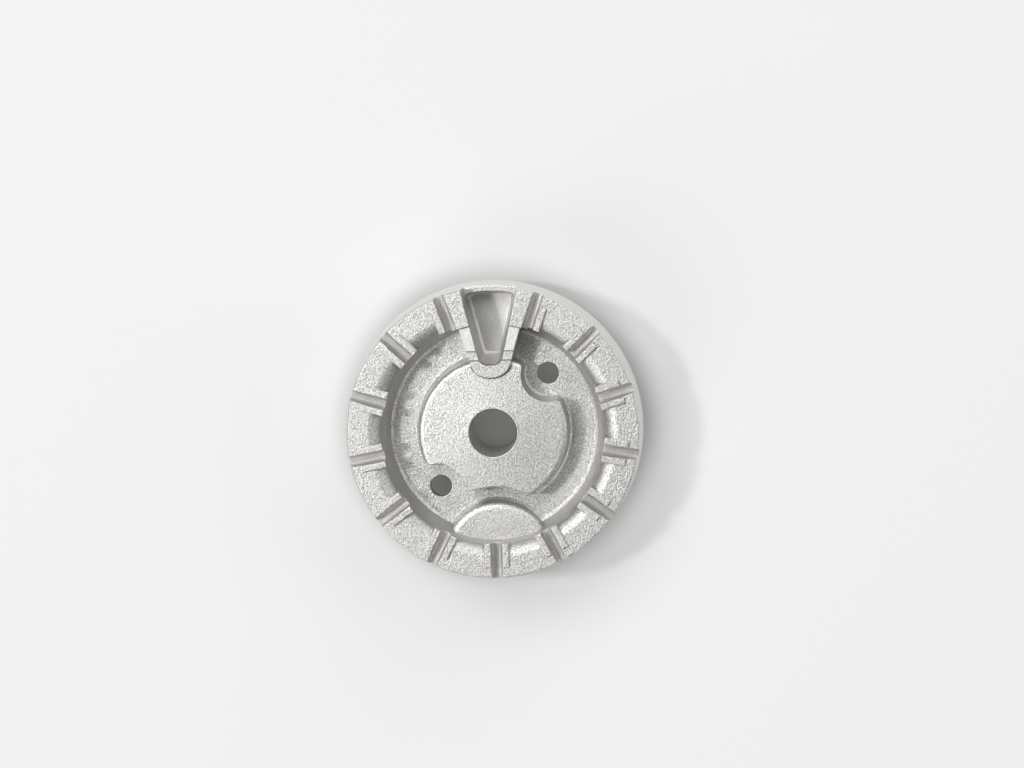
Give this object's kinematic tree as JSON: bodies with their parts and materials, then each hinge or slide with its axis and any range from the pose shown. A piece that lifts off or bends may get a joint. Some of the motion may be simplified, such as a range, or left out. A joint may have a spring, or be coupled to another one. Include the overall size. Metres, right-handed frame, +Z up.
{
  "type": "range surface burner head",
  "caption": "Round cast aluminium gas burner head for a range: slotted rim, gas gallery, central plateau with a bore, boss, two small holes and a V-shaped ignition pocket.",
  "frame": {"origin": "on the bore axis, at the foot of the central tube", "axes": "+Z up along the bore axis, +Y towards the ignition pocket, +X to the right seen from above"},
  "size_m": [0.054, 0.054, 0.017],
  "materials": {
    "cast_aluminium": "shot-blasted as cast"
  },
  "bodies": {
    "root": {"burner_head": "cast_aluminium"}
  },
  "joints": []
}
